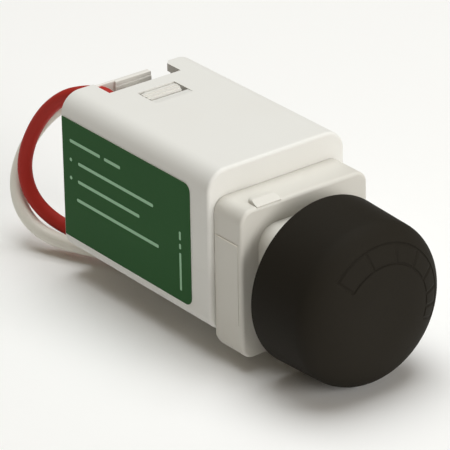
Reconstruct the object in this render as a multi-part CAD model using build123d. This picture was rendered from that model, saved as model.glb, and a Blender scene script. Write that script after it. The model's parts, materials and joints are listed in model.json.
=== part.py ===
from build123d import *
from math import asin, degrees, pi, radians, tan
import os

# Rotary dimmer mechanism for a modular wall plate. Millimetres.
# The knob's axis is the Y axis and the knob faces -Y. The shoulder that rests
# against the back of the wall plate is the plane y = 0. Z is up.

# Housing
housing_width = 24.0
housing_top = 16.05          # above the knob's axis
housing_bottom = -8.35
housing_length = 34.5
housing_wall = 1.2
housing_front_wall = 1.5
top_edge_radius = 3.2
bottom_edge_radius = 2.5
shoulder_edge_radius = 0.5
rear_edge_radius = 0.35

# Wire notch in the top wall, at the rear
notch_left = -6.3
notch_right = 6.4
notch_depth = 4.25
notch_corner = 1.0           # cut off the notch's right rear corner

# Latch windows in the top and bottom walls
window_half_width = 3.3
window_setback = 6.8         # from the housing's rear
window_length = 3.1
window_bevel = 1.4
window_bevel_depth = 0.2

# Collar that snaps into the wall plate
collar_side_step = 0.9       # the shoulder, on each side of the collar
collar_height = 22.6
collar_top = 12.1
collar_depth = 6.1
collar_face_wall = 1.5
collar_corner_radius = 2.0
collar_edge_radius = 0.5
ramp_length = 1.2            # slope under the collar, back to the housing
joint_bevel = 0.15           # on the collar's rear edge, where it meets the housing
tenon_wall = 1.2
tenon_floor_wall = 0.8
tenon_length = 3.5
tenon_clearance = 0.1
flank_height = 12.2          # shallow pad on each flank of the collar
flank_top = 6.9
flank_rise = 0.08
flank_margin = 0.3
lug_width = 4.2
lug_inset = 2.9              # from the collar's side
lug_length = 2.6
lug_height = 0.6
lug_setback = 0.15
lug_ramp = 1.4
lug_corner_radius = 1.0
lug_edge_radius = 0.4

# Square boss round the shaft
boss_half_width = 8.2
boss_top = 9.1
boss_bottom = -7.45
boss_height = 3.2            # stands out from the collar's face
boss_wall = 1.3
boss_corner_radius = 3.0
boss_edge_radius = 0.5

# Knob
knob_rear_radius = 12.5
knob_front_radius = 12.15
knob_length = 13.9
crown_width = 8.5            # the domed front rises over this much of the radius
crown_depth = 5.1
knob_gap = 3.6               # from the collar's face to the knob's rim
knob_wall = 1.15
knob_face_wall = 1.6
knob_travel = 2.0
hub_radius = 4.6
hub_length = 7.5
rib_thickness = 0.9
rib_height = 3.6
rib_count = 6
scale_inner_radius = 7.35
scale_outer_radius = 9.85
scale_start = -22.0
scale_end = 138.0
scale_arc_width = 0.26
scale_line_width = 0.42
scale_line_depth = 0.14
scale_angles = (-9, 6, 25, 48, 74, 105)

# Shaft and potentiometer
shaft_radius = 3.0
shaft_flat = 1.5             # height of the flat above the axis
shaft_flat_length = 9.5      # rear flat, inside the potentiometer
shaft_slot_width = 0.8
running_clearance = 0.06
leaf_thickness = 0.35        # of the flat spring between the shaft and the knob
leaf_half_width = 1.8
bushing_radius = 3.5
bushing_length = 4.0
bushing_flange_radius = 5.8
bushing_flange = 0.8
pot_radius = 5.7
pot_length = 6.0
pot_wall = 0.5
rotor_radius = 4.2
rotor_thickness = 1.4
tab_width = 1.2
tab_radius = 4.9
turn_limit = 140.0           # each way from the middle
stop_margin = 3.0
stop_gap = 0.3
wiper_thickness = 0.25
wiper_reach = 0.8
track_thickness = 0.7
terminal_width = 0.8
terminal_thickness = 0.4
terminal_pitch = 2.5
circlip_radius = 4.0
circlip_thickness = 0.4
groove_radius = 2.5

# Push switch behind the potentiometer
switch_half_width = 7.0
switch_bottom = -5.0
switch_top = 7.2
switch_front = 2.2
switch_length = 10.2
switch_wall = 1.0
switch_cover_thickness = 1.0
switch_foot_inset = 2.6      # from the case's side to the middle of its feet
nose_radius = 2.3
plunger_half_width = 5.0
plunger_height = 6.4
plunger_front = 4.0
plunger_length = 4.6
spigot_radius = 1.6
spigot_length = 1.0
spring_radius = 2.2
spring_wire = 0.2
spring_turns = 4
track_depth = 0.7
track_width = 1.0
latch_swing_width = 0.6
latch_lever = 4.3
latch_wire_radius = 0.3
latch_bend = 0.6
latch_tip_setback = 3.0      # from the plunger's front
contact_thickness = 0.3
contact_height = 2.0
contact_gap = 0.15
bridge_length = 1.0
contact_leg = 0.8

# Circuit board and what stands on it
board_bottom = 7.8
board_thickness = 1.4
board_side_gap = 0.4
board_front = 4.5
board_rear_gap = 1.6         # to the rear cap
board_tongue_half_width = 6.0
board_tongue_front = -4.4
rail_depth = 1.4
rail_height = 0.95
pin_radius = 0.35
pin_stand = 0.35             # above the board
fit_gap = 0.05               # between pieces that sit on each other
hole_clearance = 0.12

heatsink_thickness = 1.2
heatsink_wall_gap = 2.0
heatsink_bottom = -6.0
heatsink_switch_gap = 1.1
transistor_gap = 1.2
transistor_thickness = 2.3
transistor_height = 6.1
transistor_tab = 1.4
transistor_leg = 0.6
film_capacitor_width = 5.3
film_capacitor_height = 10.6
film_capacitor_end_gaps = (1.0, 2.5)
film_capacitor_wall_gap = 1.6
electrolytic_gap = 0.55      # to the pieces on both its sides
electrolytic_height = 12.0
electrolytic_groove_setback = 1.3
electrolytic_groove_width = 0.6
electrolytic_groove_depth = 0.3
electrolytic_y = 19.6
varistor_radius = 3.2
varistor_thickness = 3.2
varistor_board_gap = 2.0     # from the board's rear to its middle
chip_size = (3.0, 5.0, 1.4)
chip_board_gap = 5.0
chip_leg_gap = 2.95          # from the transistors' legs to its middle
chip_leg_width = 0.45
chip_leg_reach = 0.8
chip_leg_pitch = 1.27
resistor_radius = 1.1
resistor_length = 4.4
diode_radius = 1.2
diode_length = 4.0
axial_lead_reach = 0.8
axial_rows = (6.4, 9.3, 12.2, 15.1)
resistor_inset = 4.4         # from the board's side to the row's middle
diode_inset = 4.6
fuse_radius = 1.5
fuse_length = 7.0
fuse_place = (0.2, 18.3)
axial_lift = 0.4             # between the board and the bodies of axial pieces
terminal_barrel = 1.2

# Rear cap
cap_thickness = 1.3
cap_recess = 0.4
cap_saddle_top = 13.0        # in the open right part of the notch
cap_clearance = 0.1
lead_hole_radius = 1.3
guard_left = -2.85
guard_right = 3.5
guard_top = 15.72
guard_thickness = 1.0
guard_ledge = 15.05          # the bar's front slopes back above this height
guard_slope = 0.15
guard_foot = 14.0            # the plate's edge in front of the bar and the cheek
guard_lip_thickness = 0.9
guard_edge_radius = 0.2
cheek_top = 15.75            # wall over the leads, left of the bar
cheek_thickness = 0.5
guard_setback = 0.05
arm_half_width = 1.8
arm_thickness = 0.7
arm_gap = 0.85               # under the wall that the arm slides along
tongue_left = -3.0
tongue_right = 3.2
tongue_gap = 0.2             # to the window's front
tongue_length = 2.75
tongue_recess = 0.08
tongue_front_cut = (0.75, 1.5)
tongue_rear_cut = (0.9, 0.3)
tongue_ribs = 3
tongue_rib_depth = 0.14

# Rating label on the left flank
label_thickness = 0.12
label_front = 4.1
label_rear_margin = 0.1
label_top = 12.85
label_bottom = -5.8
label_corner_radius = 1.2

# Leads: insulated single-core wire, laid by hand from the board to the bared ends
lead_diameter = 2.2
conductor_diameter = 1.0
bared_length = 6.0
end_run = 0.5
red_route = [
    (-5.2, 24.8, 12.2), (-5.2, 28.6, 13.2), (-5.2, 32.4, 14.4), (-5.6, 36.6, 13.8), (-6.6, 41.0, 12.0),
    (-7.8, 44.8, 8.4), (-9.2, 47.0, 3.6), (-10.0, 47.6, -1.2), (-9.8, 45.8, -5.4), (-8.2, 42.2, -8.4),
    (-5.6, 37.4, -9.8), (-2.4, 32.2, -10.0), (0.8, 27.2, -9.8), (4.0, 21.8, -9.8), (6.0, 16.0, -9.8),
    (6.6, 10.2, -9.8)]
white_route = [
    (-2.8, 25.0, 10.8), (-2.8, 29.2, 12.0), (-2.8, 33.8, 12.4), (-2.8, 38.2, 12.0), (-3.4, 42.4, 10.5),
    (-4.7, 46.1, 7.7), (-6.6, 48.8, 4.0), (-8.7, 49.9, -0.3), (-10.4, 49.2, -4.3), (-11.0, 46.6, -7.7),
    (-10.4, 42.6, -9.8), (-8.3, 37.3, -10.4), (-5.4, 31.5, -10.2), (-2.4, 25.6, -9.8), (0.0, 20.0, -9.8),
    (1.6, 14.6, -9.8), (2.0, 9.2, -9.8)]

# Places worked out from the sizes
half_width = housing_width / 2
inner_half_width = half_width - housing_wall
inner_top = housing_top - housing_wall
inner_bottom = housing_bottom + housing_wall
collar_half_width = half_width - collar_side_step
collar_bottom = collar_top - collar_height
collar_face = -collar_depth
tenon_half_width = collar_half_width - 0.9
tenon_top = collar_top - 0.9
tenon_bottom = housing_bottom + housing_wall + 0.35
boss_face = collar_face - boss_height
boss_floor = boss_face + boss_wall
knob_rim = collar_face - knob_gap
knob_face = knob_rim - knob_length
knob_floor = knob_face + knob_face_wall
hub_end = knob_floor + hub_length
bushing_front = boss_face - bushing_length + boss_wall
pot_front = boss_floor + bushing_flange
pot_rear = pot_front + pot_length
rotor_front = pot_front + 0.3
rotor_rear = rotor_front + rotor_thickness
track_front = rotor_rear + wiper_thickness + wiper_reach + fit_gap
track_rear = track_front + track_thickness
circlip_front = pot_rear + fit_gap
shaft_front = knob_floor + 0.4
shaft_rear = circlip_front + circlip_thickness + 0.6
switch_rear = switch_front + switch_length
switch_inner_half_width = switch_half_width - switch_wall
plunger_top = plunger_height / 2
plunger_bottom = -plunger_height / 2
plunger_rear = plunger_front + plunger_length
latch_tip = plunger_front + latch_tip_setback
latch_pivot = latch_tip + latch_lever
latch_height = plunger_top + 0.8
board_top = board_bottom + board_thickness
board_half_width = inner_half_width - board_side_gap
resistor_x = resistor_inset - board_half_width
diode_x = board_half_width - diode_inset
heatsink_face = inner_half_width - heatsink_wall_gap - heatsink_thickness
cap_rear = housing_length - cap_recess
cap_front = cap_rear - cap_thickness
board_rear = cap_front - board_rear_gap
window_rear = housing_length - window_setback
window_front = window_rear - window_length
heatsink_front = switch_rear + switch_cover_thickness + heatsink_switch_gap
crown_radius = knob_front_radius - crown_width
crown_rear = knob_face + crown_depth


def block(x0, x1, y0, y1, z0, z1):
    centre = Pos((x0 + x1) / 2, (y0 + y1) / 2, (z0 + z1) / 2)
    return centre * Box(x1 - x0, y1 - y0, z1 - z0)


def rod(radius, y0, y1, x=0.0, z=0.0):
    return Pos(x, (y0 + y1) / 2, z) * Rot(90, 0, 0) * Cylinder(radius, y1 - y0)


def post(radius, x, y, z0, z1):
    return Pos(x, y, (z0 + z1) / 2) * Cylinder(radius, z1 - z0)


def ring(outer_radius, inner_radius, y0, y1):
    return rod(outer_radius, y0, y1) - rod(inner_radius, y0 - 1, y1 + 1)


def edges_along_y(solid, top):
    rows = solid.edges().filter_by(Axis.Y).group_by(Axis.Z)
    return rows[-1] if top else rows[0]


def rounded_block(x0, x1, y0, y1, z0, z1, top_radius, bottom_radius):
    solid = block(x0, x1, y0, y1, z0, z1)
    solid = fillet(edges_along_y(solid, True), top_radius)
    return fillet(edges_along_y(solid, False), bottom_radius)


def prism_along_x(points, x0, x1):
    outline = Plane.YZ * make_face(Polyline(*points, close=True))
    return Pos(x0, 0, 0) * extrude(outline, amount=x1 - x0, dir=(1, 0, 0))


def d_bar(radius, flat, y0, y1):
    return rod(radius, y0, y1) - block(-radius, radius, y0 - 1, y1 + 1, flat, radius + 1)


def sector(radius, start, end, y0, y1):
    # Wedge of a disc round the Y axis, angles from +X towards +Z
    reach = radius * 3
    middle = (start + end) / 2
    half = (end - start) / 2
    corner = reach * tan(radians(min(half, 80)))
    wedge = Polyline((0, 0), (reach, corner), (reach, -corner), close=True)
    solid = extrude(Plane.XZ * Rot(0, 0, middle) * make_face(wedge), amount=-(y1 - y0))
    return Pos(0, y0, 0) * solid


def through_pins(places, z0, z1, radius=pin_radius):
    return [post(radius, x, y, z0, z1) for x, y in places]


# Housing shell, with the board rails inside
def make_housing():
    shell = rounded_block(-half_width, half_width, 0, housing_length, housing_bottom, housing_top,
                          top_edge_radius, bottom_edge_radius)
    shell = fillet(shell.faces().sort_by(Axis.Y)[0].edges(), shoulder_edge_radius)
    shell = fillet(shell.faces().sort_by(Axis.Y)[-1].edges(), rear_edge_radius)
    hollow = rounded_block(-inner_half_width, inner_half_width, housing_front_wall, housing_length + 1,
                           inner_bottom, inner_top,
                           top_edge_radius - housing_wall, bottom_edge_radius - housing_wall)
    opening = block(-tenon_half_width - tenon_clearance, tenon_half_width + tenon_clearance,
                    -1, housing_front_wall + 1,
                    tenon_bottom - tenon_clearance, tenon_top + tenon_clearance)
    notch = block(notch_left, notch_right, housing_length - notch_depth, housing_length + 1,
                  inner_top - 0.5, housing_top + 1)
    shell = shell - hollow - opening - notch
    corner = Polyline((notch_right, housing_length - notch_corner), (notch_right, housing_length + 1),
                      (notch_right + notch_corner + 1, housing_length + 1), close=True)
    shell -= Pos(0, 0, inner_top - 0.5) * extrude(make_face(corner), amount=housing_wall + 1.5, dir=(0, 0, 1))
    for wall, sign in ((housing_top, 1), (housing_bottom, -1)):
        low, high = sorted((wall - sign * 2 * housing_wall, wall + sign))
        shell -= block(-window_half_width, window_half_width, window_front, window_rear, low, high)
        bevel_deep = wall - sign * window_bevel_depth
        bevel = prism_along_x([(window_front - window_bevel, wall), (window_front - window_bevel, wall + sign),
                               (window_front + 0.2, wall + sign), (window_front + 0.2, bevel_deep),
                               (window_front, bevel_deep)],
                              -window_half_width, window_half_width)
        shell -= bevel
    for side in (-1, 1):
        for low in (board_bottom - fit_gap - rail_height, board_top + fit_gap):
            inner, outer = sorted((side * (inner_half_width - rail_depth), side * (inner_half_width + 0.2)))
            shell += block(inner, outer, board_front + 0.5, board_rear, low, low + rail_height)
    return shell


# Snap lug: a softly rounded pad that rises from the collar's front edge
def make_lug(left, surface, sign):
    front = collar_face + lug_setback
    rear = front + lug_length
    crest = surface + sign * lug_height
    root = surface - sign * 0.6
    lug = prism_along_x([(front, root), (front, surface + sign * 0.05), (front + lug_ramp, crest), (rear, crest),
                         (rear, root)], left, left + lug_width)
    lug = fillet(lug.edges().filter_by(Axis.Z).group_by(Axis.Y)[-1], lug_corner_radius)
    flat = lug.faces().sort_by(Axis.Z)[-1 if sign > 0 else 0]
    return fillet(flat.edges(), lug_edge_radius)


# Collar, boss and the tenon that locks into the housing's front
def make_collar():
    body = rounded_block(-collar_half_width, collar_half_width, collar_face, 0,
                         collar_bottom, collar_top, collar_corner_radius, collar_corner_radius)
    body = fillet(body.faces().sort_by(Axis.Y)[0].edges(), collar_edge_radius)
    body = chamfer(body.faces().sort_by(Axis.Y)[-1].edges(), joint_bevel)
    body -= prism_along_x([(-ramp_length, collar_bottom), (1, collar_bottom), (1, housing_bottom),
                           (0, housing_bottom)], -collar_half_width - 1, collar_half_width + 1)
    for side in (-1, 1):
        inner, outer = sorted((side * (collar_half_width - 0.5), side * (collar_half_width + flank_rise)))
        body += block(inner, outer, collar_face + flank_margin + collar_edge_radius, -flank_margin,
                      flank_top - flank_height, flank_top)
    boss = rounded_block(-boss_half_width, boss_half_width, boss_face, collar_face + 0.5,
                         boss_bottom, boss_top, boss_corner_radius, boss_corner_radius)
    body += fillet(boss.faces().sort_by(Axis.Y)[0].edges(), boss_edge_radius)
    body += block(-tenon_half_width, tenon_half_width, -0.5, tenon_length, tenon_bottom, tenon_top)
    for side in (-1, 1):
        inner, outer = sorted((side * (tenon_half_width - 0.3), side * (tenon_half_width + 0.35)))
        hook_front = housing_front_wall + fit_gap
        body += block(inner, outer, hook_front, hook_front + 1.0, 0, collar_top / 2)
    cavity = block(-tenon_half_width + tenon_wall, tenon_half_width - tenon_wall,
                   collar_face + collar_face_wall, tenon_length + 1,
                   tenon_bottom + tenon_floor_wall, tenon_top - tenon_wall)
    boss_cavity = rounded_block(-boss_half_width + boss_wall, boss_half_width - boss_wall,
                                boss_floor, collar_face + collar_face_wall + 0.5,
                                boss_bottom + boss_wall, boss_top - boss_wall,
                                boss_corner_radius - boss_wall, boss_corner_radius - boss_wall)
    body -= cavity
    body -= boss_cavity
    body -= rod(bushing_radius + fit_gap, boss_face - 1, boss_floor + 1)
    for left, surface, sign in ((-collar_half_width + lug_inset, collar_top, 1),
                                (collar_half_width - lug_inset - lug_width, collar_bottom, -1)):
        body += make_lug(left, surface, sign)
    return body


# Height and place of a lead where it passes the rear cap
def lead_at_cap(route):
    for before, after in zip(route, route[1:]):
        if before[1] <= cap_rear <= after[1]:
            share = (cap_rear - before[1]) / (after[1] - before[1])
            return [start + share * (end - start) for start, end in zip(before, after)]


# Rear cap with the wire guard bar, the two lead holes and two latch arms
def make_cap():
    plate = rounded_block(-inner_half_width + cap_clearance, inner_half_width - cap_clearance,
                          cap_front, cap_rear, inner_bottom + cap_clearance, inner_top - cap_clearance,
                          top_edge_radius - housing_wall - cap_clearance,
                          bottom_edge_radius - housing_wall - cap_clearance)
    plate -= block(guard_right, notch_right + notch_corner, cap_front - 1, cap_rear + 1,
                   cap_saddle_top, housing_top)
    guard_rear = housing_length - guard_setback
    guard_front = guard_rear - guard_thickness
    plate -= block(guard_left, guard_right, cap_front - 1, guard_front, guard_foot, housing_top)
    plate -= block(notch_left, guard_left, cap_front - 1, guard_rear - cheek_thickness, guard_foot, housing_top)
    lip = block(guard_left, guard_right, guard_rear - guard_lip_thickness, guard_rear,
                cap_saddle_top, guard_top)
    plate += fillet(lip.edges().group_by(Axis.Z)[-1], guard_edge_radius)
    plate += prism_along_x([(guard_front, cap_saddle_top), (guard_front, guard_ledge - guard_slope),
                            (guard_rear - guard_lip_thickness, guard_ledge), (guard_rear - 0.1, guard_ledge),
                            (guard_rear - 0.1, cap_saddle_top)], guard_left, guard_right)
    cheek_left = notch_left + cap_clearance
    cheek = block(cheek_left, guard_left + 0.2, guard_rear - cheek_thickness, guard_rear,
                  cap_saddle_top - 1, cheek_top)
    plate += fillet(cheek.edges().group_by(Axis.Z)[-1], guard_edge_radius)
    for route in (red_route, white_route):
        x, y, z = lead_at_cap(route)
        plate -= rod(lead_hole_radius, cap_front - 1, guard_rear + 1, x, z)
    tongue_front = window_front + tongue_gap
    tongue_rear = tongue_front + tongue_length
    front_cut, front_cut_back = tongue_front_cut
    rear_cut, rear_cut_back = tongue_rear_cut
    head_plan = Polyline((tongue_left, tongue_front), (tongue_right - front_cut, tongue_front),
                         (tongue_right, tongue_front + front_cut_back), (tongue_right, tongue_rear),
                         (tongue_left + rear_cut, tongue_rear), (tongue_left, tongue_rear - rear_cut_back),
                         close=True)
    for wall, sign in ((housing_top, 1), (housing_bottom, -1)):
        inner_face = wall - sign * housing_wall
        low, high = sorted((inner_face - sign * arm_gap, inner_face - sign * (arm_gap + arm_thickness)))
        plate += block(-arm_half_width, arm_half_width, tongue_front, cap_front + 0.5, low, high)
        head_face = wall - sign * tongue_recess
        low, high = sorted((inner_face - sign * (arm_gap + arm_thickness), head_face))
        plate += Pos(0, 0, low) * extrude(make_face(head_plan), amount=high - low, dir=(0, 0, 1))
        pitch = tongue_length / tongue_ribs
        for index in range(tongue_ribs):
            rib_front = tongue_front + index * pitch
            plate -= prism_along_x([(rib_front, head_face), (rib_front, head_face + sign),
                                    (rib_front + pitch, head_face + sign),
                                    (rib_front + pitch, head_face - sign * tongue_rib_depth)],
                                   -housing_width / 4, housing_width / 4)
    return plate


# Foil label: square at the rear, rounded at its front corners
def make_label():
    foil = block(-half_width - label_thickness, -half_width, label_front,
                 housing_length - rear_edge_radius - label_rear_margin, label_bottom, label_top)
    corners = foil.edges().filter_by(Axis.X).group_by(Axis.Y)[0]
    return fillet(corners, label_corner_radius)


# Solid of the knob's own form: tapered flank and domed front, drawn in by the two insets
def knob_form(inset, front_inset, rear):
    outline = [
        Line((0, rear), (knob_rear_radius - inset, rear)),
        Line((knob_rear_radius - inset, rear), (knob_front_radius - inset, crown_rear)),
        EllipticalCenterArc((crown_radius, crown_rear), crown_width - inset, crown_depth - front_inset,
                            start_angle=270, arc_size=90),
        Line((crown_radius, knob_face + front_inset), (0, knob_face + front_inset)),
        Line((0, knob_face + front_inset), (0, rear))]
    return revolve(make_face(outline), Axis.Y)


# Knob: hollow, with a D-bored hub, ribs and an engraved brightness scale
def make_knob():
    knob = knob_form(0, 0, knob_rim) - knob_form(knob_wall, knob_face_wall, knob_rim + 1)
    knob += rod(hub_radius, knob_floor - 0.2, hub_end)
    rib_limit = knob_form(knob_wall / 2, knob_face_wall / 2, knob_rim)
    for index in range(rib_count):
        rib = block(hub_radius - 0.5, knob_front_radius, knob_face, knob_floor + rib_height,
                    -rib_thickness / 2, rib_thickness / 2)
        knob += (Rot(0, index * 360 / rib_count + 30, 0) * rib) & rib_limit
    bore_flat = shaft_flat + leaf_thickness + 2 * fit_gap
    knob -= d_bar(shaft_radius + fit_gap, bore_flat, shaft_front - fit_gap, hub_end + 1)
    groove_front = knob_face - 1
    scale_floor = knob_form(scale_line_depth, scale_line_depth, knob_rim)
    half_arc = scale_arc_width / 2
    for radius in (scale_inner_radius, scale_outer_radius):
        circle = ring(radius + half_arc, radius - half_arc, groove_front, crown_rear)
        arc = circle & sector(radius, scale_start, scale_end, groove_front, crown_rear)
        knob -= arc - scale_floor
    half_line = scale_line_width / 2
    for angle in (scale_start, *scale_angles, scale_end):
        line = block(scale_inner_radius, scale_outer_radius, groove_front, crown_rear, -half_line, half_line)
        knob -= (Rot(0, -angle, 0) * line) - scale_floor
    return knob


def make_knob_leaf():
    return block(-leaf_half_width, leaf_half_width, shaft_front, hub_end - 0.3, shaft_flat + fit_gap,
                 shaft_flat + fit_gap + leaf_thickness)


def make_shaft():
    shaft = rod(shaft_radius, shaft_front, shaft_rear)
    shaft = chamfer(shaft.edges().group_by(Axis.Y)[0], 0.4)
    front_flat_end = hub_end + 0.5
    shaft -= block(-shaft_radius, shaft_radius, shaft_front - 1, front_flat_end, shaft_flat, shaft_radius + 1)
    shaft -= block(-shaft_radius, shaft_radius, shaft_rear - shaft_flat_length, shaft_rear + 1,
                   shaft_flat, shaft_radius + 1)
    shaft -= block(-shaft_slot_width / 2, shaft_slot_width / 2, shaft_front - 1, shaft_front + 1.5,
                   -shaft_radius, shaft_flat)
    groove = ring(shaft_radius + 1, groove_radius, circlip_front - fit_gap,
                  circlip_front + circlip_thickness + fit_gap)
    return shaft - groove


def make_circlip():
    clip = ring(circlip_radius, groove_radius + fit_gap, circlip_front, circlip_front + circlip_thickness)
    mouth = block(-groove_radius * 0.8, groove_radius * 0.8, circlip_front - 1, circlip_front + 2,
                  -circlip_radius - 1, 0)
    return clip - mouth


def make_bushing():
    bushing = rod(bushing_flange_radius, boss_floor, pot_front) + rod(bushing_radius, bushing_front, pot_front)
    bushing = chamfer(bushing.edges().group_by(Axis.Y)[0], 0.3)
    return bushing - rod(shaft_radius + running_clearance, bushing_front - 1, pot_front + 1)


# Potentiometer case, with the stop that limits the rotor's turn
def make_pot_case():
    inner_radius = pot_radius - pot_wall
    case = rod(pot_radius, pot_front, pot_rear) - rod(inner_radius, pot_front - 1, pot_rear - pot_wall)
    case -= rod(shaft_radius + 0.4, pot_rear - 1, pot_rear + 1)
    slot_half = terminal_pitch + terminal_width / 2 + 0.3
    case -= block(-slot_half, slot_half, track_rear, track_rear + terminal_thickness + 2 * fit_gap + 0.2,
                  inner_radius * 0.5, pot_radius + 1)
    tab_half_angle = degrees(tab_width / 2 / tab_radius)
    stop_half_angle = 180 - turn_limit - tab_half_angle - stop_margin
    stop = ring(inner_radius + 0.1, rotor_radius + stop_gap, pot_front, rotor_rear)
    stop = stop & sector(pot_radius, -90 - stop_half_angle, -90 + stop_half_angle, pot_front, rotor_rear)
    return case + stop


def make_rotor():
    rotor = rod(rotor_radius, rotor_front, rotor_rear)
    rotor += block(-tab_width / 2, tab_width / 2, rotor_front, rotor_rear, rotor_radius - 0.5, tab_radius)
    bore = d_bar(shaft_radius + running_clearance, shaft_flat + running_clearance,
                 rotor_front - 1, rotor_rear + 1)
    return rotor - bore


def make_wiper():
    wiper = ring(rotor_radius - 0.2, shaft_radius + 0.3, rotor_rear, rotor_rear + wiper_thickness)
    wiper += block(-0.4, 0.4, rotor_rear, rotor_rear + wiper_thickness + wiper_reach,
                   -rotor_radius + 0.2, -shaft_radius - 0.5)
    return wiper


def make_track():
    return ring(pot_radius - pot_wall - fit_gap, shaft_radius + 0.4, track_front, track_rear)


def make_pot_terminals():
    legs = []
    for index in (-1, 0, 1):
        x = index * terminal_pitch
        legs.append(block(x - terminal_width / 2, x + terminal_width / 2, track_rear + fit_gap,
                          track_rear + fit_gap + terminal_thickness, shaft_radius + 0.8, board_top + pin_stand))
    return legs


# Switch case: open at the rear, with feet that meet the board
def make_switch_case():
    case = block(-switch_half_width, switch_half_width, switch_front, switch_rear, switch_bottom, switch_top)
    case -= block(-switch_inner_half_width, switch_inner_half_width, switch_front + switch_wall,
                  switch_rear + 1, switch_bottom + switch_wall, switch_top - switch_wall)
    case -= rod(nose_radius + running_clearance, switch_front - 1, switch_front + switch_wall + 1)
    for side in (-1, 1):
        for y in (switch_front + 1.0, switch_rear - 1.0):
            x = side * (switch_half_width - switch_foot_inset)
            case += block(x - 0.6, x + 0.6, y - 0.6, y + 0.6, switch_top - 0.1, board_bottom - fit_gap)
        case -= contact_leg_hole(side, switch_top - switch_wall - 0.1)
    return case - post(latch_wire_radius + running_clearance, 0, latch_pivot, switch_top - 2, switch_top + 1)


def make_switch_cover():
    cover = block(-switch_half_width, switch_half_width, switch_rear + 0.02,
                  switch_rear + switch_cover_thickness, switch_bottom, switch_top)
    seat_radius = spring_radius + spring_wire + 0.2
    return cover + ring(seat_radius + 0.6, seat_radius, switch_rear - 0.7, switch_rear + 0.5)


def cam_slot(x0, y0, x1, y1):
    # Slot with round ends, sunk into the plunger's top
    length = ((x1 - x0) ** 2 + (y1 - y0) ** 2) ** 0.5
    turn = degrees(asin((y1 - y0) / length))
    slot = extrude(SlotCenterToCenter(length, track_width), amount=track_depth + 1)
    return Pos((x0 + x1) / 2, (y0 + y1) / 2, plunger_top - track_depth) * Rot(0, 0, turn) * slot


def make_plunger():
    nose_front = shaft_rear + fit_gap
    plunger = rod(nose_radius, nose_front, plunger_front + 0.5)
    plunger += block(-plunger_half_width, plunger_half_width, plunger_front, plunger_rear,
                     plunger_bottom, plunger_top)
    plunger += rod(spigot_radius, plunger_rear - 0.5, plunger_rear + spigot_length)
    lane_end = latch_tip - knob_travel
    for side in (-1, 1):
        plunger -= cam_slot(0, latch_tip, side * latch_swing_width, lane_end)
    return plunger


def make_spring():
    seat = switch_rear - fit_gap
    length = seat - plunger_rear - fit_gap - 2 * spring_wire
    path = Helix(pitch=length / spring_turns, height=length, radius=spring_radius)
    profile = Plane(origin=path @ 0, z_dir=path % 0) * Circle(spring_wire)
    coil = sweep(profile, path=path, is_frenet=True)
    return Pos(0, plunger_rear + fit_gap + spring_wire, 0) * Rot(-90, 0, 0) * coil


# Moving contact: a strip under the plunger with an upturned tip at each side
def make_bridge():
    tip_outer = switch_inner_half_width - contact_gap - contact_thickness - contact_gap
    strip_top = plunger_bottom
    front = plunger_front + plunger_length * 0.4
    bridge = block(-tip_outer, tip_outer, front, front + bridge_length,
                   strip_top - contact_thickness, strip_top)
    for side in (-1, 1):
        inner, outer = sorted((side * (tip_outer - contact_thickness), side * tip_outer))
        bridge += block(inner, outer, front, front + bridge_length, strip_top - contact_thickness,
                        strip_top - contact_thickness + contact_height)
    return bridge


def contact_leg_hole(side, z0):
    inner, outer = sorted((side * (switch_inner_half_width - fit_gap + hole_clearance),
                           side * (switch_inner_half_width - fit_gap - contact_thickness - hole_clearance)))
    rear = switch_rear - 1.0 + hole_clearance
    front = switch_rear - 1.0 - contact_leg - hole_clearance
    return block(inner, outer, front, rear, z0, board_top + 1)


def make_fixed_contacts():
    blades = []
    bridge_rear = plunger_front + plunger_length * 0.4 + bridge_length
    for side in (-1, 1):
        inner, outer = sorted((side * (switch_inner_half_width - fit_gap),
                               side * (switch_inner_half_width - fit_gap - contact_thickness)))
        low = plunger_bottom - contact_thickness
        blade = block(inner, outer, bridge_rear + knob_travel * 0.3, switch_rear - fit_gap,
                      low, low + contact_height)
        rear = switch_rear - 1.0
        leg = block(inner, outer, rear - contact_leg, rear, low + contact_height - 0.1, board_top + pin_stand)
        blades.append(blade + leg)
    return blades


# Follower wire of the push-push latch: pivots in the case's top, rides in the plunger's track
def make_latch_wire():
    path = FilletPolyline((0, latch_pivot, switch_top - 0.1), (0, latch_pivot, latch_height),
                          (0, latch_tip, latch_height), (0, latch_tip, plunger_top - track_depth + 0.2),
                          radius=latch_bend)
    profile = Plane(origin=path @ 0, z_dir=path % 0) * Circle(latch_wire_radius)
    return sweep(profile, path=path)


# Places of the pins that pass through the board
film_left = -inner_half_width + film_capacitor_wall_gap
film_right = film_left + film_capacitor_width
film_front = heatsink_front + film_capacitor_end_gaps[0]
film_rear = board_rear - film_capacitor_end_gaps[1]
film_pins = [((film_left + film_right) / 2, y) for y in (film_front + 1.5, film_rear - 1.5)]
transistor_width = (board_rear - heatsink_front - 3 * transistor_gap) / 2
transistor_left = heatsink_face - fit_gap - transistor_thickness
transistor_x = heatsink_face - transistor_thickness / 2
transistor_ys = [heatsink_front + transistor_gap + transistor_width / 2 + index * (transistor_width + transistor_gap)
                 for index in (0, 1)]
transistor_leg_offsets = (-0.35 * transistor_width, 0, 0.35 * transistor_width)
middle_x = (film_right + transistor_left) / 2
electrolytic_radius = (transistor_left - film_right) / 2 - electrolytic_gap
electrolytic_pins = [(middle_x, electrolytic_y + offset) for offset in (-1.75, 1.75)]
varistor_y = board_rear - varistor_board_gap
varistor_pins = [(middle_x + offset, varistor_y) for offset in (-2.5, 2.5)]
chip_place = (transistor_x - chip_leg_gap, board_rear - chip_board_gap)


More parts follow.
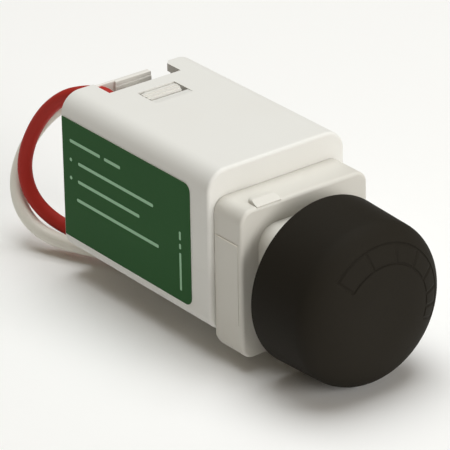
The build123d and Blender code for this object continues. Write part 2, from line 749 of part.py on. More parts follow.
def make_board():
    board = block(-board_half_width, board_half_width, board_front, board_rear, board_bottom, board_top)
    board += block(-board_tongue_half_width, board_tongue_half_width, board_tongue_front,
                   board_front + 0.5, board_bottom, board_top)
    for x, y in film_pins + electrolytic_pins + varistor_pins:
        board -= post(pin_radius + hole_clearance, x, y, board_bottom - 1, board_top + 1)
    for index in (-1, 0, 1):
        x = index * terminal_pitch
        board -= block(x - terminal_width / 2 - hole_clearance, x + terminal_width / 2 + hole_clearance,
                       track_rear + fit_gap - hole_clearance,
                       track_rear + fit_gap + terminal_thickness + hole_clearance,
                       board_bottom - 1, board_top + 1)
    for side in (-1, 1):
        board -= contact_leg_hole(side, board_bottom - 1)
    for y in transistor_ys:
        for offset in transistor_leg_offsets:
            half = transistor_leg / 2 + hole_clearance
            board -= block(transistor_x - half, transistor_x + half, y + offset - half, y + offset + half,
                           board_bottom - 1, board_top + 1)
    return board


def make_heatsink():
    plate = block(heatsink_face, heatsink_face + heatsink_thickness, heatsink_front, board_rear,
                  heatsink_bottom, board_bottom - fit_gap)
    return fillet(plate.edges().filter_by(Axis.X).group_by(Axis.Z)[0], 1.0)


def make_transistors():
    pieces = []
    body_top = board_bottom - 2.6
    for y in transistor_ys:
        x1 = heatsink_face - fit_gap
        x0 = x1 - transistor_thickness
        half = transistor_width / 2
        body = block(x0, x1, y - half, y + half, body_top - transistor_height, body_top)
        body = chamfer(body.edges().filter_by(Axis.Y).group_by(Axis.X)[0], 0.3)
        body += block(x1 - 0.6, x1, y - half + 0.6, y + half - 0.6,
                      body_top - transistor_height - transistor_tab, body_top - transistor_height + 0.1)
        for offset in transistor_leg_offsets:
            leg = transistor_leg / 2
            body += block(transistor_x - leg, transistor_x + leg, y + offset - leg, y + offset + leg,
                          body_top - 0.1, board_top + pin_stand)
        pieces.append(body)
    return pieces


def make_film_capacitor():
    top = board_bottom - fit_gap
    body = block(film_left, film_right, film_front, film_rear, top - film_capacitor_height, top)
    body = fillet(body.edges().filter_by(Axis.Z), 0.5)
    for pin in through_pins(film_pins, top - 0.5, board_top + pin_stand):
        body += pin
    return body


def make_electrolytic():
    x, y = middle_x, electrolytic_y
    top = board_bottom - fit_gap
    can = post(electrolytic_radius, x, y, top - electrolytic_height, top)
    can = fillet(can.edges().group_by(Axis.Z)[0], 0.5)
    groove_top = top - electrolytic_groove_setback
    groove = post(electrolytic_radius + 1, x, y, groove_top - electrolytic_groove_width, groove_top)
    groove -= post(electrolytic_radius - electrolytic_groove_depth, x, y, top - electrolytic_height, top)
    can -= groove
    for pin in through_pins(electrolytic_pins, top - 0.5, board_top + pin_stand):
        can += pin
    return can


def make_varistor():
    x, y = middle_x, varistor_y
    top = board_bottom - fit_gap
    centre = top - varistor_radius - 0.3
    disc = rod(varistor_radius, y - varistor_thickness / 2, y + varistor_thickness / 2, x, centre)
    disc = fillet(disc.edges().filter_by(GeomType.CIRCLE), 0.6)
    for pin in through_pins(varistor_pins, centre, board_top + pin_stand):
        disc += pin
    return disc


def make_chip():
    x, y = chip_place
    width, length, height = chip_size
    low = board_top + 0.3
    chip = block(x - width / 2, x + width / 2, y - length / 2, y + length / 2, low, low + height)
    for side in (-1, 1):
        for index in range(4):
            leg_y = y + (index - 1.5) * chip_leg_pitch
            inner, outer = sorted((x + side * (width / 2 - 0.2), x + side * (width / 2 + chip_leg_reach)))
            chip += block(inner, outer, leg_y - chip_leg_width / 2, leg_y + chip_leg_width / 2,
                          board_top + fit_gap, low + 0.4)
    return chip


def axial_piece(x, y, radius, length):
    # Body along X, with a bent lead at each end that stands on the board
    height = board_top + fit_gap + radius + axial_lift
    body = Pos(x, y, height) * Rot(0, 90, 0) * Cylinder(radius, length)
    body = fillet(body.edges(), radius * 0.35)
    lead_radius = radius * 0.27
    end = length / 2 + axial_lead_reach
    path = FilletPolyline((x - end, y, board_top + fit_gap), (x - end, y, height), (x + end, y, height),
                          (x + end, y, board_top + fit_gap), radius=axial_lead_reach * 0.7)
    wire = sweep(Plane(origin=path @ 0, z_dir=path % 0) * Circle(lead_radius), path=path)
    return body + wire


def make_lead_tube(route, diameter):
    points = [Vector(*point) for point in route]
    radii = []
    for before, point, after in zip(points, points[1:], points[2:]):
        turn = (point - before).get_angle(after - point)
        shorter = min((point - before).length, (after - point).length)
        radii.append(0.45 * shorter / tan(radians(turn) / 2))
    path = FilletPolyline(*points, radius=radii)
    tube = sweep(Plane(origin=path @ 0, z_dir=path % 0) * Circle(diameter / 2), path=path)
    print("lead radii", [round(radius, 1) for radius in radii], "length", round(path.length, 1),
          "volume ratio", round(tube.volume / (path.length * pi * diameter ** 2 / 4), 4))
    return tube


def make_bared_end(route):
    tip = Vector(*route[-1])
    along = (tip - Vector(*route[-2])).normalized()
    conductor = Plane(origin=tip, z_dir=along) * Circle(conductor_diameter / 2)
    return extrude(conductor, amount=bared_length)


# Solder posts on the board, each with a short barrel that the lead starts from
def make_lead_terminals():
    pieces = []
    for route, stem_shift in ((red_route, -0.4), (white_route, 0.4)):
        start = Vector(*route[0])
        along = (Vector(*route[1]) - start).normalized()
        barrel_start = start - along * terminal_barrel
        barrel = extrude(Plane(origin=barrel_start, z_dir=along) * Circle(lead_diameter / 2 * 0.9),
                         amount=terminal_barrel)
        stem_x = start.X + stem_shift
        stem = block(stem_x - 0.4, stem_x + 0.4, barrel_start.Y - 0.3, barrel_start.Y + 0.6,
                     board_top + fit_gap, barrel_start.Z + 0.2)
        pieces.append(barrel + stem)
    return pieces


nodes = {
    "rear_housing": make_housing(),
    "front_collar": make_collar(),
    "rear_cap": make_cap(),
    "rating_label": make_label(),
    "knob": make_knob(),
    "knob_spring": make_knob_leaf(),
    "control_shaft": make_shaft(),
    "shaft_circlip": make_circlip(),
    "shaft_bushing": make_bushing(),
    "pot_case": make_pot_case(),
    "wiper_rotor": make_rotor(),
    "wiper_contact": make_wiper(),
    "resistive_track": make_track(),
    "pot_terminals": make_pot_terminals(),
    "switch_case": make_switch_case(),
    "switch_cover": make_switch_cover(),
    "switch_plunger": make_plunger(),
    "return_spring": make_spring(),
    "contact_bridge": make_bridge(),
    "fixed_contacts": make_fixed_contacts(),
    "latch_wire": make_latch_wire(),
    "circuit_board": make_board(),
    "heatsink_plate": make_heatsink(),
    "power_transistors": make_transistors(),
    "film_capacitor": make_film_capacitor(),
    "electrolytic_capacitor": make_electrolytic(),
    "varistor": make_varistor(),
    "control_chip": make_chip(),
    "resistors": [axial_piece(resistor_x, y, resistor_radius, resistor_length) for y in axial_rows],
    "diodes": [axial_piece(diode_x, y, diode_radius, diode_length) for y in axial_rows],
    "fuse_resistor": axial_piece(*fuse_place, fuse_radius, fuse_length),
    "lead_terminals": make_lead_terminals(),
    "red_lead": make_lead_tube(red_route, lead_diameter),
    "white_lead": make_lead_tube(white_route, lead_diameter),
    "red_lead_end": make_bared_end(red_route),
    "white_lead_end": make_bared_end(white_route),
}

os.makedirs("parts", exist_ok=True)
for name, shape in nodes.items():
    if isinstance(shape, list):
        shape = Compound(children=[solid for piece in shape for solid in piece.solids()])
    export_step(shape, f"parts/{name}.step")
print(len(nodes), "nodes written")
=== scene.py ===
import bmesh
import bpy
import json
import math
from mathutils import Matrix, Vector


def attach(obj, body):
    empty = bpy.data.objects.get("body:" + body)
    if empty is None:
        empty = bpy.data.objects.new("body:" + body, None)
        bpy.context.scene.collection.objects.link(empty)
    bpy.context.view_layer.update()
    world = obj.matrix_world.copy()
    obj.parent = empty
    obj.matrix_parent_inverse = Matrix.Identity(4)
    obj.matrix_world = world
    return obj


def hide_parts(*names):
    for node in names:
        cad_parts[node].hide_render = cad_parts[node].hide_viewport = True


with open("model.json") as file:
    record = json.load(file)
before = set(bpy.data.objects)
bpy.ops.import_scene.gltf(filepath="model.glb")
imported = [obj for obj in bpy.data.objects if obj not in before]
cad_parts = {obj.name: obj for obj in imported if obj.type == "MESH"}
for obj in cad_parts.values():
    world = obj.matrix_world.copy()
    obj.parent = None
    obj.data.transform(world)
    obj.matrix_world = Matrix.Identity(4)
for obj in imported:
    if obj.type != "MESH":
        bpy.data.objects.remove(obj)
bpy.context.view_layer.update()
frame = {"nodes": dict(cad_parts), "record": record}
nodes = frame["nodes"]
mm = 0.001


# Node graph helpers

def newMaterial(name):
    material = bpy.data.materials.new(name)
    material.use_nodes = True
    tree = material.node_tree
    tree.nodes.clear()
    output = tree.nodes.new("ShaderNodeOutputMaterial")
    shader = tree.nodes.new("ShaderNodeBsdfPrincipled")
    tree.links.new(shader.outputs["BSDF"], output.inputs["Surface"])
    return material, tree, shader


def addNode(tree, kind, settings=None, inputs=None):
    node = tree.nodes.new(kind)
    for key, value in (settings or {}).items():
        setattr(node, key, value)
    for key, value in (inputs or {}).items():
        if isinstance(value, bpy.types.NodeSocket):
            tree.links.new(value, node.inputs[key])
        else:
            node.inputs[key].default_value = value
    return node


def rgba(colour):
    return (*colour, 1.0)


def objectPoint(tree, stretch):
    point = addNode(tree, "ShaderNodeTexCoord").outputs["Object"]
    if not stretch:
        return point
    return addNode(tree, "ShaderNodeMapping",
                   inputs={"Vector": point, "Scale": stretch}).outputs["Vector"]


def noise(tree, point, scale, detail):
    return addNode(tree, "ShaderNodeTexNoise",
                   inputs={"Vector": point, "Scale": scale, "Detail": detail}).outputs["Fac"]


def spread(tree, value, source, target):
    return addNode(tree, "ShaderNodeMapRange",
                   inputs={"Value": value, "From Min": source[0], "From Max": source[1],
                           "To Min": target[0], "To Max": target[1]}).outputs["Result"]


def blendColours(tree, factor, first, second):
    return addNode(tree, "ShaderNodeMix", {"data_type": "RGBA"},
                   {"Factor": factor, 6: rgba(first), 7: rgba(second)}).outputs[2]


# One recipe for all finishes: a fine grain that bumps the surface and varies its roughness, and
# in some a slow drift from the colour to its shade. A look's depth is the grain's height in mm.
finishRecipe = dict(grainDetail=4.0, driftDetail=2.0, driftScale=90.0, bumpStrength=0.3,
                    noiseSpan=(0.3, 0.7))  # the span holds nearly all of the noise's values


def finish(name, look):
    material, tree, shader = newMaterial(name)
    point = objectPoint(tree, look.get("stretch"))
    grain = noise(tree, point, look["grainScale"], finishRecipe["grainDetail"])
    if "shade" in look:
        driftScale = look.get("driftScale", finishRecipe["driftScale"])
        drift = noise(tree, point, driftScale, finishRecipe["driftDetail"])
        colour = blendColours(tree, drift, look["colour"], look["shade"])
        tree.links.new(colour, shader.inputs["Base Color"])
    else:
        shader.inputs["Base Color"].default_value = rgba(look["colour"])
    roughness = spread(tree, grain, finishRecipe["noiseSpan"], look["roughness"])
    tree.links.new(roughness, shader.inputs["Roughness"])
    bump = addNode(tree, "ShaderNodeBump",
                   inputs={"Height": grain, "Strength": finishRecipe["bumpStrength"],
                           "Distance": look["depth"] * mm})
    tree.links.new(bump.outputs["Normal"], shader.inputs["Normal"])
    for key, socket in (("metallic", "Metallic"), ("specular", "Specular IOR Level")):
        if key in look:
            shader.inputs[socket].default_value = look[key]
    return material


looks = {
    "housing_plastic": dict(colour=(0.80, 0.80, 0.77), shade=(0.78, 0.77, 0.735),
                            roughness=(0.42, 0.52), grainScale=5200.0, depth=0.006, specular=0.35),
    "collar_plastic": dict(colour=(0.69, 0.675, 0.625), shade=(0.665, 0.645, 0.59),
                           roughness=(0.40, 0.50), grainScale=5200.0, depth=0.005),
    "cap_plastic": dict(colour=(0.785, 0.775, 0.735), shade=(0.765, 0.745, 0.70),
                        roughness=(0.45, 0.55), grainScale=4800.0, depth=0.006),
    "label_foil": dict(colour=(0.027, 0.108, 0.030), shade=(0.024, 0.098, 0.027),
                       roughness=(0.42, 0.50), grainScale=2600.0, depth=0.002, specular=0.06),
    "knob_plastic": dict(colour=(0.0175, 0.0148, 0.0105), shade=(0.0155, 0.0130, 0.0092),
                         roughness=(0.68, 0.78), grainScale=6500.0, depth=0.008, specular=0.10),
    "spring_steel": dict(colour=(0.58, 0.57, 0.55),
                         roughness=(0.22, 0.34), grainScale=3000.0, depth=0.003, metallic=1.0),
    "shaft_plastic": dict(colour=(0.62, 0.61, 0.57),
                          roughness=(0.36, 0.46), grainScale=3800.0, depth=0.004, stretch=(1, 0.1, 1)),
    "bushing_brass": dict(colour=(0.68, 0.52, 0.24), shade=(0.58, 0.43, 0.19),
                          roughness=(0.24, 0.38), grainScale=3400.0, depth=0.004, stretch=(1, 6, 1),
                          metallic=1.0),
    "pot_steel": dict(colour=(0.60, 0.60, 0.58),
                      roughness=(0.28, 0.42), grainScale=2500.0, depth=0.004, metallic=1.0),
    "rotor_plastic": dict(colour=(0.10, 0.055, 0.03),
                          roughness=(0.45, 0.55), grainScale=3000.0, depth=0.006),
    "track_carbon": dict(colour=(0.02, 0.02, 0.02),
                         roughness=(0.5, 0.65), grainScale=3000.0, depth=0.004),
    "contact_brass": dict(colour=(0.70, 0.53, 0.26),
                          roughness=(0.26, 0.38), grainScale=3000.0, depth=0.003, metallic=1.0),
    "switch_plastic": dict(colour=(0.022, 0.022, 0.024),
                           roughness=(0.40, 0.52), grainScale=4000.0, depth=0.006),
    "plunger_plastic": dict(colour=(0.72, 0.71, 0.68),
                            roughness=(0.40, 0.50), grainScale=4000.0, depth=0.005),
    "board_laminate": dict(colour=(0.015, 0.095, 0.035), shade=(0.035, 0.15, 0.06),
                           roughness=(0.24, 0.36), grainScale=1500.0, driftScale=900.0, depth=0.010),
    "heatsink_aluminium": dict(colour=(0.66, 0.66, 0.66),
                               roughness=(0.30, 0.46), grainScale=2600.0, depth=0.004,
                               stretch=(1, 0.05, 1), metallic=1.0),
    "resin_black": dict(colour=(0.014, 0.014, 0.015),
                        roughness=(0.42, 0.58), grainScale=4200.0, depth=0.010),
    "resin_red": dict(colour=(0.26, 0.035, 0.02), shade=(0.20, 0.025, 0.015),
                      roughness=(0.20, 0.30), grainScale=1600.0, depth=0.010),
    "sleeve_dark": dict(colour=(0.016, 0.020, 0.045),
                        roughness=(0.22, 0.32), grainScale=2000.0, depth=0.003),
    "resin_blue": dict(colour=(0.025, 0.10, 0.28),
                       roughness=(0.24, 0.34), grainScale=1600.0, depth=0.010),
    "resistor_coat": dict(colour=(0.50, 0.36, 0.18),
                          roughness=(0.26, 0.36), grainScale=2000.0, depth=0.005),
    "fuse_coat": dict(colour=(0.06, 0.16, 0.09),
                      roughness=(0.30, 0.40), grainScale=2000.0, depth=0.006),
    "tinned_copper": dict(colour=(0.66, 0.63, 0.58),
                          roughness=(0.24, 0.40), grainScale=3200.0, depth=0.006, metallic=1.0),
    "red_insulation": dict(colour=(0.47, 0.034, 0.025), shade=(0.41, 0.029, 0.021),
                           roughness=(0.46, 0.56), grainScale=2400.0, depth=0.006, specular=0.12),
    "white_insulation": dict(colour=(0.86, 0.845, 0.77), shade=(0.83, 0.81, 0.73),
                             roughness=(0.38, 0.48), grainScale=2400.0, depth=0.006),
    # paler than the collar: a painted highlight on the pads' upper edges, where light catches them
    "painted_highlight_edge": dict(colour=(0.86, 0.82, 0.74),
                      roughness=(0.40, 0.50), grainScale=5200.0, depth=0.004),
    "label_print": dict(colour=(0.30, 0.56, 0.34),
                        roughness=(0.40, 0.48), grainScale=2600.0, depth=0.002),
}
materials = {name: finish(name, look) for name, look in looks.items()}
slotOfNode = {part["node"]: part["material_slot"] for part in frame["record"]["subparts"]}


def dress(obj, lookName):
    obj.data.materials.clear()
    obj.data.materials.append(materials[lookName])


for nodeName, node in nodes.items():
    dress(node, slotOfNode[nodeName])
print("materials on", len(nodes), "nodes")


# Piece helpers

smoothAngle = 35.0  # degrees


def newObject(name, data):
    obj = bpy.data.objects.new(name, data)
    bpy.context.scene.collection.objects.link(obj)
    return obj


def addPiece(name, mesh, body, slotName, replaced=(), look=None):
    obj = newObject(name, mesh)
    dress(obj, look or slotName)
    for face in mesh.polygons:
        face.use_smooth = True
    mesh.set_sharp_from_angle(angle=math.radians(smoothAngle))
    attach(obj, body)
    if replaced:
        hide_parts(*replaced)


def meshOf(name, build):
    shape = bmesh.new()
    build(shape)
    bmesh.ops.recalc_face_normals(shape, faces=shape.faces)
    mesh = bpy.data.meshes.new(name)
    shape.to_mesh(mesh)
    shape.free()
    return mesh


def addBlock(shape, low, high, bevel=0.0):
    made = bmesh.ops.create_cube(shape, size=1.0)["verts"]
    size = Vector(high) - Vector(low)
    middle = (Vector(high) + Vector(low)) / 2
    for vert in made:
        vert.co = Vector(a * b for a, b in zip(vert.co, size)) + middle
    if bevel:
        edges = {edge for vert in made for edge in vert.link_edges}
        bmesh.ops.bevel(shape, geom=list(edges), offset=bevel, segments=2, profile=0.5,
                        affect="EDGES")


def addPrism(shape, nearOutline, farOutline):
    near = [shape.verts.new(place) for place in nearOutline]
    far = [shape.verts.new(place) for place in farOutline]
    shape.faces.new(near)
    shape.faces.new(list(reversed(far)))
    for index in range(len(near)):
        following = (index + 1) % len(near)
        shape.faces.new((near[index], far[index], far[following], near[following]))


def arcPoints(centreA, centreB, radius, start, end, steps):
    # Points of an arc in a plane, from one angle in degrees to another
    points = []
    for step in range(steps + 1):
        turn = math.radians(start + (end - start) * step / steps)
        points.append((centreA + radius * math.cos(turn), centreB + radius * math.sin(turn)))
    return points


# Camera: fitted to the photograph's outlines
view = dict(place=(-0.26982, -0.34030, 0.21864), forward=(0.54552, 0.71219, -0.44181),
            right=(0.78958, -0.61349, -0.01400), up=(0.28102, 0.34120, 0.89700),
            lens=279.6, sensor=36.0, nearest=0.01, furthest=20.0)
cameraData = bpy.data.cameras.new("camera")
cameraData.lens = view["lens"]
cameraData.sensor_width = view["sensor"]
cameraData.clip_start = view["nearest"]
cameraData.clip_end = view["furthest"]
camera = newObject("camera", cameraData)
axes = Matrix((view["right"], view["up"], [-value for value in view["forward"]])).transposed()
camera.matrix_world = Matrix.Translation(view["place"]) @ axes.to_4x4()
bpy.context.scene.camera = camera


# Leads: the points of the CAD's routes, as smooth curves. The red one rises a little more in the notch
# than the CAD's. Points and exits are in mm, lengths in m.
leads = {
    "red_lead": dict(
        slot="red_insulation", length=0.0776, exit=(-5.3, 34.4, 14.1),
        points=((-5.2, 24.8, 12.2), (-5.2, 29.2, 13.2), (-5.1, 32.6, 14.8), (-5.6, 36.6, 13.8),
                (-6.6, 41.0, 12.0), (-7.8, 44.8, 8.4), (-9.2, 47.0, 3.6), (-10.0, 47.6, -1.2),
                (-9.8, 45.8, -5.4), (-8.2, 42.2, -8.4), (-5.6, 37.4, -9.8), (-2.4, 32.2, -10.0),
                (0.8, 27.2, -9.8), (4.0, 21.8, -9.8), (6.0, 16.0, -9.8), (6.6, 10.2, -9.8))),
    "white_lead": dict(
        slot="white_insulation", length=0.0813, exit=(-2.8, 34.4, 12.3),
        points=((-2.8, 25.0, 10.8), (-2.8, 29.2, 12.0), (-2.8, 33.8, 12.4), (-2.8, 38.2, 12.0),
                (-3.4, 42.4, 10.5), (-4.7, 46.1, 7.7), (-6.6, 48.8, 4.0), (-8.7, 49.9, -0.3),
                (-10.4, 49.2, -4.3), (-11.0, 46.6, -7.7), (-10.4, 42.6, -9.8), (-8.3, 37.3, -10.4),
                (-5.4, 31.5, -10.2), (-2.4, 25.6, -9.8), (0.0, 20.0, -9.8), (1.6, 14.6, -9.8),
                (2.0, 9.2, -9.8))),
}
leadDiameter = 2.2 * mm


def layLead(name, lead):
    curve = bpy.data.curves.new(name + "_line", "CURVE")
    curve.dimensions = "3D"
    spline = curve.splines.new("NURBS")
    spline.points.add(len(lead["points"]) - 1)
    for point, place in zip(spline.points, lead["points"]):
        point.co = (*[value * mm for value in place], 1.0)
    spline.order_u = 3
    spline.use_endpoint_u = True
    spline.resolution_u = 14
    curve.bevel_depth = leadDiameter / 2
    curve.bevel_resolution = 8
    curve.use_fill_caps = True
    obj = newObject(name + "_insulation", curve)
    dress(obj, lead["slot"])
    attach(obj, "housing")
    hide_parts(name)


for leadName, lead in leads.items():
    layLead(leadName, lead)
print("leads laid")


# Knob: turned profile with an engraved brightness scale on its face. Sizes in mm, angles in degrees.
knob = dict(rearRadius=12.5, frontRadius=12.15, wall=1.15, columns=540,
            rim=-9.7, rimEdge=0.25, rimInset=0.15, rimSteps=5,
            face=-23.6, faceWall=1.6, faceRings=(6.6, 6.1, 5.5, 4.8, 4.0, 3.0, 1.8, 0.8),
            crownWidth=8.5, crownDepth=5.1, crownSteps=34, hollowSteps=14,
            hubRadius=4.6, hubEnd=-14.5, hubEdge=0.3, bore=3.05, boreEnd=-21.65, boreEdge=0.2,
            flat=1.95, flatRoot=0.3,
            ribs=6, ribThickness=0.9, ribHeight=3.6, ribRoot=0.2, ribStart=30, ribSteps=12)
engraving = dict(inner=7.35, outer=9.85, margin=0.3, rows=56, start=-22.0, end=138.0,
                 lines=(-9, 6, 25, 48, 74, 105), arcWidth=0.26, lineWidth=0.42, depth=0.14,
                 sideEnd=1.35, sideWidth=0.7,  # of a groove's soft side, in half widths of the groove
                 nearLine=0.2)  # radians, past which a line is not looked at
knobFloor = knob["face"] + knob["faceWall"]
crownRadius = knob["frontRadius"] - knob["crownWidth"]
crownRear = knob["face"] + knob["crownDepth"]


def grooveShare(distance, width):
    # 1 in the middle of a groove, 0 outside it, with soft sides
    share = (engraving["sideEnd"] - 2 * distance / width) / engraving["sideWidth"]
    return min(max(share, 0.0), 1.0)


def scaleDepth(radius, angle):
    # Depth of the engraving at a place on the face
    share = 0.0
    if engraving["start"] <= angle <= engraving["end"]:
        for arc in (engraving["inner"], engraving["outer"]):
            share = max(share, grooveShare(abs(radius - arc), engraving["arcWidth"]))
    if engraving["inner"] <= radius <= engraving["outer"]:
        for line in (engraving["start"], *engraving["lines"], engraving["end"]):
            turn = math.radians(angle - line)
            if abs(turn) < engraving["nearLine"]:
                share = max(share, grooveShare(abs(radius * math.sin(turn)), engraving["lineWidth"]))
    return engraving["depth"] * share


def crown(inset, frontInset, steps):
    # Points of the domed front, from the flank to the flat middle
    points = []
    for step in range(steps + 1):
        turn = math.radians(90.0 * step / steps)
        points.append((crownRadius + (knob["crownWidth"] - inset) * math.cos(turn),
                       crownRear - (knob["crownDepth"] - frontInset) * math.sin(turn)))
    return points


def crownHeight(radius):
    share = min(max((radius - crownRadius) / knob["crownWidth"], 0.0), 1.0)
    return crownRear - knob["crownDepth"] * math.sqrt(1 - share ** 2)


def knobProfile():
    # From the bore's end round the hub, the hollow, the rim and the crown to the middle of the face
    rimCentre = knob["rearRadius"] - knob["rimEdge"]
    hollowRadius = knob["rearRadius"] - knob["wall"]
    profile = [(knob["bore"], knob["boreEnd"]), (knob["bore"], knob["hubEnd"] - knob["boreEdge"]),
               (knob["bore"] + knob["boreEdge"], knob["hubEnd"]),
               (knob["hubRadius"] - knob["hubEdge"], knob["hubEnd"]),
               (knob["hubRadius"], knob["hubEnd"] - knob["hubEdge"])]
    hollow = [point for point in crown(knob["wall"], knob["faceWall"], knob["hollowSteps"])
              if point[0] > knob["hubRadius"]]
    profile += [(knob["hubRadius"], hollow[-1][1]), *reversed(hollow)]
    profile += [(hollowRadius, knob["rim"] - knob["rimInset"]),
                (hollowRadius + knob["rimInset"], knob["rim"])]
    profile += arcPoints(rimCentre, knob["rim"] - knob["rimEdge"], knob["rimEdge"], 90, 0,
                         knob["rimSteps"])
    outer = engraving["outer"] + engraving["margin"]
    inner = engraving["inner"] - engraving["margin"]
    profile += [point for point in crown(0, 0, knob["crownSteps"]) if point[0] > outer]
    for step in range(engraving["rows"] + 1):
        radius = outer + (inner - outer) * step / engraving["rows"]
        profile.append((radius, crownHeight(radius)))
    profile += [(radius, crownHeight(radius)) for radius in knob["faceRings"]]
    return profile


def addRib(shape):
    # Web along +X from the hub to the flank; its front edge follows the middle of the domed wall
    half = knob["ribThickness"] / 2
    root = knob["hubRadius"] - knob["ribRoot"]
    top = knobFloor + knob["ribHeight"]
    front = [point for point in crown(knob["wall"] / 2, knob["faceWall"] / 2, knob["ribSteps"])
             if point[0] > root and point[1] < top]
    outline = [(root, front[-1][1]), *reversed(front), (front[0][0], top), (root, top)]
    sides = [[(radius * mm, y * mm, z * mm) for radius, y in outline] for z in (-half, half)]
    addPrism(shape, *sides)


def buildKnob(shape):
    rings = []
    for radius, y in knobProfile():
        ring = []
        for column in range(knob["columns"]):
            angle = column * 360.0 / knob["columns"] - 180.0
            depth = scaleDepth(radius, angle) if y < crownRear and radius > crownRadius else 0.0
            turn = math.radians(angle)
            ring.append(shape.verts.new((radius * math.cos(turn) * mm, (y + depth) * mm,
                                         radius * math.sin(turn) * mm)))
        rings.append(ring)
    for near, far in zip(rings, rings[1:]):
        for column in range(knob["columns"]):
            following = (column + 1) % knob["columns"]
            shape.faces.new((near[column], near[following], far[following], far[column]))
    shape.faces.new(rings[0])
    shape.faces.new(rings[-1])
    for index in range(knob["ribs"]):
        before = len(shape.verts)
        addRib(shape)
        shape.verts.ensure_lookup_table()
        angle = index * 360 / knob["ribs"] + knob["ribStart"]
        turned = Matrix.Rotation(math.radians(angle), 4, "Y")
        for vert in shape.verts[before:]:
            vert.co = turned @ vert.co
    # The block in the bore that the shaft's flat lies on
    half = math.sqrt(knob["bore"] ** 2 - knob["flat"] ** 2)
    front = knob["boreEnd"]
    rear = knob["hubEnd"] - knob["boreEdge"]
    top = knob["bore"] + knob["flatRoot"]
    addBlock(shape, (-half * mm, front * mm, knob["flat"] * mm), (half * mm, rear * mm, top * mm))


addPiece("knob_shell", meshOf("knob_shell", buildKnob), "knob", "knob_plastic", ["knob"])
print("knob turned")


# Label print: rows of plain bars with two dots, and an upright column of bars. Sizes in mm.
labelPrint = dict(face=-12.12, thickness=0.012, inset=0.004,
                  rows=(dict(z=9.7, height=0.5, words=((32.2, 24.9), (23.9, 20.1))),
                        dict(z=6.65, height=0.5, words=((30.3, 12.5),)),
                        dict(z=3.75, height=0.5, words=((30.5, 15.8),)),
                        dict(z=0.75, height=0.5, words=((30.9, 11.4),))),
                  rowCorner=0.2, cornerSteps=5,
                  dots=((32.1, 6.7), (32.2, 3.8)), dotRadius=0.28, dotCorners=24,
                  column=dict(y=6.4, width=0.42, corner=0.15,
                              runs=((-4.1, 1.7), (2.3, 3.1), (3.7, 5.0))))


def addPad(shape, outline):
    # Flat pad on the label from an outline of (y, z) points in mm
    outer = (labelPrint["face"] - labelPrint["thickness"]) * mm
    inner = (labelPrint["face"] + labelPrint["inset"]) * mm
    sides = [[(x, y * mm, z * mm) for y, z in outline] for x in (outer, inner)]
    addPrism(shape, *sides)


def bar(y0, y1, z0, z1, radius):
    points = []
    for cornerY, cornerZ, start in ((y1 - radius, z1 - radius, 0), (y0 + radius, z1 - radius, 90),
                                    (y0 + radius, z0 + radius, 180), (y1 - radius, z0 + radius, 270)):
        points += arcPoints(cornerY, cornerZ, radius, start, start + 90, labelPrint["cornerSteps"])
    return points


def dot(y, z):
    corners = labelPrint["dotCorners"]
    return arcPoints(y, z, labelPrint["dotRadius"], 0, 360 * (corners - 1) / corners, corners - 1)


def buildPrint(shape):
    for row in labelPrint["rows"]:
        half = row["height"] / 2
        for high, low in row["words"]:
            addPad(shape, bar(low, high, row["z"] - half, row["z"] + half, labelPrint["rowCorner"]))
    for y, z in labelPrint["dots"]:
        addPad(shape, dot(y, z))
    column = labelPrint["column"]
    half = column["width"] / 2
    for low, high in column["runs"]:
        addPad(shape, bar(column["y"] - half, column["y"] + half, low, high, column["corner"]))


addPiece("label_bars", meshOf("label_bars", buildPrint), "housing", "label_foil", look="label_print")
print("label printed")


# Thin raised lines: the mould's parting line on the left flank, and the upper edges of the collar's
# pads, which carry a paler colour as a painted highlight. Sizes in mm.
flankLines = {
    "mould_line": dict(slot="housing_plastic", face=12.0, sides=(-1,), front=0.75, rear=3.8,
                       z=0.5, width=0.12, rise=0.03),
    "pad_edges": dict(slot="collar_plastic", look="painted_highlight_edge", face=11.18, sides=(-1, 1),
                      front=-5.3, rear=-0.3, z=6.91, width=0.18, rise=0.03),
}
lineRoot = 0.05  # how deep a line stands in its flank
lineBevel = 0.015


def flankLineBuilder(line):
    def build(shape):
        half = line["width"] / 2
        for side in line["sides"]:
            root = side * (line["face"] - lineRoot)
            low, high = sorted((root, side * (line["face"] + line["rise"])))
            addBlock(shape, (low * mm, line["front"] * mm, (line["z"] - half) * mm),
                     (high * mm, line["rear"] * mm, (line["z"] + half) * mm), lineBevel * mm)
    return build


for lineName, line in flankLines.items():
    addPiece(lineName, meshOf(lineName, flankLineBuilder(line)), "housing", line["slot"],
             look=line.get("look"))
print("flank lines added")


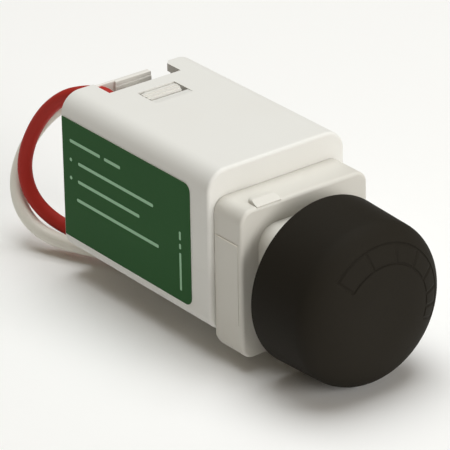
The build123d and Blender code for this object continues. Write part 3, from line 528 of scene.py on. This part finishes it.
# Floor, lights and surroundings
floorLevel = -12.56 * mm
floorReach = 3.0
floorMesh = bpy.data.meshes.new("floor")
floorCorners = [(x * floorReach, y * floorReach, floorLevel)
                for x, y in ((-1, -1), (1, -1), (1, 1), (-1, 1))]
floorMesh.from_pydata(floorCorners, [], [(0, 1, 2, 3)])
floor = newObject("floor", floorMesh)
floorLook = dict(colour=(0.96, 0.96, 0.955), shade=(0.95, 0.95, 0.945), roughness=(0.75, 0.8),
                 grainScale=400.0, driftScale=3.0, depth=0.002)
floorMesh.materials.append(finish("floor_paint", floorLook))

lights = {
    "top": dict(place=(0.08, 0.08, 0.60), size=0.50, power=3.5, colour=(0.965, 0.99, 1.0)),
    "front": dict(place=(0.10, -0.65, 0.21), size=0.40, power=2.95, colour=(1.0, 0.99, 0.97)),
}
lightTarget = Vector((0.0, 0.012, 0.002))
for lightName, light in lights.items():
    data = bpy.data.lights.new(lightName, "AREA")
    data.shape = "SQUARE"
    data.size = light["size"]
    data.energy = light["power"]
    data.color = light["colour"]
    lamp = newObject(lightName, data)
    lamp.location = light["place"]
    lamp.rotation_euler = (lightTarget - Vector(light["place"])).to_track_quat("-Z", "Y").to_euler()

# The camera sees a white backdrop, and the object is lit by a weak warm one
surroundings = dict(backdrop=(1.0, 1.0, 1.0), backdropStrength=1.0,
                    ambient=(1.0, 0.81, 0.53), ambientStrength=0.12)


def background(tree, colour, strength):
    return addNode(tree, "ShaderNodeBackground", inputs={"Color": rgba(colour), "Strength": strength})


world = bpy.data.worlds.new("studio")
bpy.context.scene.world = world
world.use_nodes = True
worldTree = world.node_tree
worldTree.nodes.clear()
path = addNode(worldTree, "ShaderNodeLightPath")
backdrop = background(worldTree, surroundings["backdrop"], surroundings["backdropStrength"])
ambient = background(worldTree, surroundings["ambient"], surroundings["ambientStrength"])
choice = addNode(worldTree, "ShaderNodeMixShader")
worldOutput = addNode(worldTree, "ShaderNodeOutputWorld")
worldTree.links.new(path.outputs["Is Camera Ray"], choice.inputs[0])
worldTree.links.new(ambient.outputs[0], choice.inputs[1])
worldTree.links.new(backdrop.outputs[0], choice.inputs[2])
worldTree.links.new(choice.outputs[0], worldOutput.inputs["Surface"])
bpy.context.scene.view_settings.view_transform = "Standard"
print("stage set")
